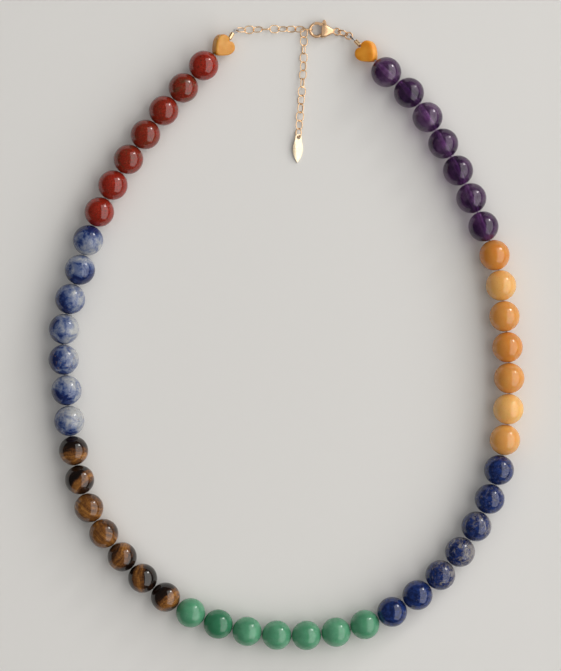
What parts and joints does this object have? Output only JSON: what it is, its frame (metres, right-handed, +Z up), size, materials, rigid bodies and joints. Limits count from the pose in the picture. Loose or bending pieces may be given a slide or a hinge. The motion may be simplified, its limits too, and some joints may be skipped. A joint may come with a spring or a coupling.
{
  "type": "beaded necklace with lobster clasp and extender chain",
  "caption": "Closed necklace of round drilled stone beads in seven colours with a heart bead at each end, lobster clasp, extender chain and leaf tag, lying flat",
  "frame": {"origin": "middle of the underside of the whole necklace as it lies closed on a table", "axes": "+X to the right and +Y towards the clasp, seen from above; +Z up"},
  "size_m": [0.1268, 0.1682, 0.0082],
  "materials": {
    "red_jasper": "polished opaque brick-red stone with darker specks",
    "sodalite": "polished stone, deep blue clouds on grey-white",
    "tigers_eye": "polished brown-black stone with golden silky bands",
    "green_aventurine": "polished slightly translucent green stone",
    "lapis_lazuli": "polished deep-blue stone with grey and golden flecks",
    "yellow_jade": "polished milky translucent honey-yellow stone",
    "amethyst": "polished clear dark purple stone",
    "heart_stone": "satin amber-coloured stone with fine pits",
    "gold_plate": "polished warm gold plating",
    "steel_wire": "bright grey steel beading wire"
  },
  "bodies": {
    "necklace": {"amethyst_1": "amethyst", "amethyst_2": "amethyst", "amethyst_3": "amethyst", "amethyst_4": "amethyst", "amethyst_5": "amethyst", "amethyst_6": "amethyst", "amethyst_7": "amethyst", "bead_wire": "steel_wire", "clasp_body": "gold_plate", "clasp_ring": "gold_plate", "crimp_left": "gold_plate", "crimp_right": "gold_plate", "extender_chain": "gold_plate", "green_aventurine_1": "green_aventurine", "green_aventurine_2": "green_aventurine", "green_aventurine_3": "green_aventurine", "green_aventurine_4": "green_aventurine", "green_aventurine_5": "green_aventurine", "green_aventurine_6": "green_aventurine", "green_aventurine_7": "green_aventurine", "heart_left": "heart_stone", "heart_right": "heart_stone", "lapis_lazuli_1": "lapis_lazuli", "lapis_lazuli_2": "lapis_lazuli", "lapis_lazuli_3": "lapis_lazuli", "lapis_lazuli_4": "lapis_lazuli", "lapis_lazuli_5": "lapis_lazuli", "lapis_lazuli_6": "lapis_lazuli", "lapis_lazuli_7": "lapis_lazuli", "red_jasper_1": "red_jasper", "red_jasper_2": "red_jasper", "red_jasper_3": "red_jasper", "red_jasper_4": "red_jasper", "red_jasper_5": "red_jasper", "red_jasper_6": "red_jasper", "red_jasper_7": "red_jasper", "sodalite_1": "sodalite", "sodalite_2": "sodalite", "sodalite_3": "sodalite", "sodalite_4": "sodalite", "sodalite_5": "sodalite", "sodalite_6": "sodalite", "sodalite_7": "sodalite", "strand_ring": "gold_plate", "tag": "gold_plate", "tigers_eye_1": "tigers_eye", "tigers_eye_2": "tigers_eye", "tigers_eye_3": "tigers_eye", "tigers_eye_4": "tigers_eye", "tigers_eye_5": "tigers_eye", "tigers_eye_6": "tigers_eye", "tigers_eye_7": "tigers_eye", "yellow_jade_1": "yellow_jade", "yellow_jade_2": "yellow_jade", "yellow_jade_3": "yellow_jade", "yellow_jade_4": "yellow_jade", "yellow_jade_5": "yellow_jade", "yellow_jade_6": "yellow_jade", "yellow_jade_7": "yellow_jade"},
    "lever": {"clasp_lever": "gold_plate"}
  },
  "joints": [
    {"name": "clasp_lever_hinge", "type": "hinge", "parent": "necklace", "child": "lever", "pos_m": [0.01018, 0.0826, 0.00114], "axis": [0, 0, 1], "range_deg": [0, 25], "stiffness_Nm_per_rad": 0.002}
  ]
}
